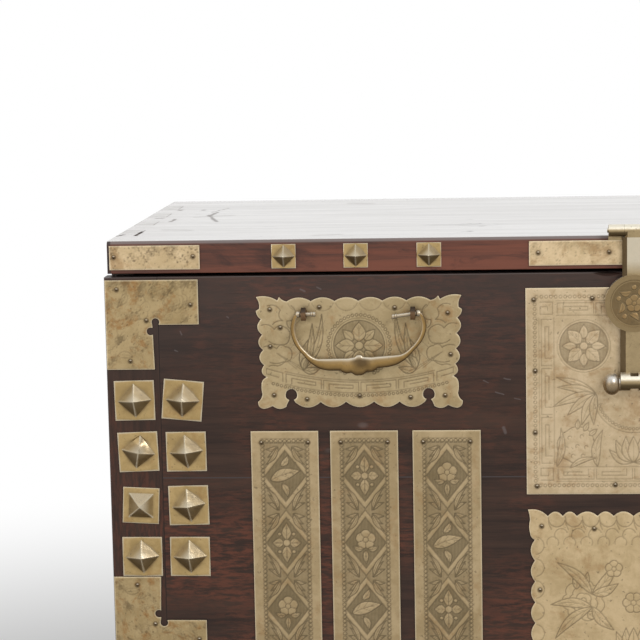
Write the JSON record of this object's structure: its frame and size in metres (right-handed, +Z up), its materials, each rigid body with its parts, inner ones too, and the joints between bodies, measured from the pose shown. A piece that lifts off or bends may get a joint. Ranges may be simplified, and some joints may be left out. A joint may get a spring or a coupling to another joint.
{
  "type": "bandaji chest",
  "caption": "Low wooden blanket chest on a stand, its upper front a drop door on brass strap hinges, held by a hasp and pin, with hanging handles.",
  "frame": {"origin": "on the floor, under the middle of the whole chest with its fittings", "axes": "+Z up; -Y is the front with the drop door; +X is the right-hand end seen from the front"},
  "size_m": [0.993, 0.4718, 0.8127],
  "materials": {
    "dark_wood": "dark reddish brown oiled wood, satin, scuffed",
    "top_wood": "worn and polished dark wood top",
    "back_wood": "plain unfinished boards",
    "sheet_brass": "aged engraved yellow brass sheet",
    "cast_brass": "aged cast and forged brass, worn bright on edges",
    "steel_pin": "plain iron pins"
  },
  "bodies": {
    "case": {"top_board": "top_wood", "side_board_left": "dark_wood", "side_board_right": "dark_wood", "lower_front_panel": "dark_wood", "back_plank_upper": "back_wood", "back_plank_lower": "back_wood", "bottom_board": "back_wood", "stand_front_apron": "dark_wood", "stand_back_rail": "dark_wood", "stand_side_left": "dark_wood", "stand_side_right": "dark_wood", "top_edge_studs": "sheet_brass", "top_edge_strip_left": "sheet_brass", "top_edge_strip_right": "sheet_brass", "hasp_strip": "sheet_brass", "hasp_hinge_pin": "steel_pin", "hinge_pins": "steel_pin", "lower_centre_plate": "sheet_brass", "side_handle_posts_left": "cast_brass", "side_handle_posts_right": "cast_brass", "hinge_lower_leaf_1": "sheet_brass", "hinge_lower_leaf_2": "sheet_brass", "hinge_lower_leaf_3": "sheet_brass", "hinge_lower_leaf_4": "sheet_brass", "hinge_lower_leaf_5": "sheet_brass", "hinge_lower_leaf_6": "sheet_brass"},
    "door": {"door_plank_upper": "dark_wood", "door_plank_lower": "dark_wood", "door_cleat_left": "dark_wood", "door_cleat_right": "dark_wood", "corner_plate_upper_left": "sheet_brass", "corner_plate_upper_right": "sheet_brass", "corner_plate_lower_left": "sheet_brass", "corner_plate_lower_right": "sheet_brass", "lock_plate": "sheet_brass", "lock_staple": "cast_brass", "door_centre_plate": "sheet_brass", "handle_plate_left": "sheet_brass", "handle_plate_right": "sheet_brass", "handle_posts_left": "cast_brass", "handle_posts_right": "cast_brass", "door_studs_left": "sheet_brass", "door_studs_right": "sheet_brass", "hinge_upper_leaf_1": "sheet_brass", "hinge_upper_leaf_2": "sheet_brass", "hinge_upper_leaf_3": "sheet_brass", "hinge_upper_leaf_4": "sheet_brass", "hinge_upper_leaf_5": "sheet_brass", "hinge_upper_leaf_6": "sheet_brass"},
    "hasp": {"hasp": "cast_brass"},
    "lock_pin": {"lock_pin": "cast_brass"},
    "door_bail_left": {"door_bail_left": "cast_brass"},
    "door_bail_right": {"door_bail_right": "cast_brass"},
    "side_bail_left": {"side_bail_left": "cast_brass"},
    "side_bail_right": {"side_bail_right": "cast_brass"}
  },
  "joints": [
    {"name": "door_hinge", "type": "hinge", "parent": "case", "child": "door", "pos_m": [0, -0.2189, 0.399], "axis": [1, 0, 0], "range_deg": [0, 160]},
    {"name": "hasp_hinge", "type": "hinge", "parent": "case", "child": "hasp", "pos_m": [0, -0.2196, 0.8072], "axis": [-1, 0, 0], "range_deg": [0, 264]},
    {"name": "lock_pin_slide", "type": "slide", "parent": "hasp", "child": "lock_pin", "axis": [-1, 0, 0], "range_m": [0, 0.03]},
    {"name": "door_bail_left_swing", "type": "hinge", "parent": "door", "child": "door_bail_left", "pos_m": [-0.25, -0.2231, 0.734], "axis": [-1, 0, 0], "range_deg": [0, 160]},
    {"name": "door_bail_right_swing", "type": "hinge", "parent": "door", "child": "door_bail_right", "pos_m": [0.25, -0.2231, 0.734], "axis": [-1, 0, 0], "range_deg": [0, 160]},
    {"name": "side_bail_left_swing", "type": "hinge", "parent": "case", "child": "side_bail_left", "pos_m": [-0.4905, 0.0109, 0.64], "axis": [0, 1, 0], "range_deg": [0, 160]},
    {"name": "side_bail_right_swing", "type": "hinge", "parent": "case", "child": "side_bail_right", "pos_m": [0.4905, 0.0109, 0.64], "axis": [0, -1, 0], "range_deg": [0, 160]}
  ]
}
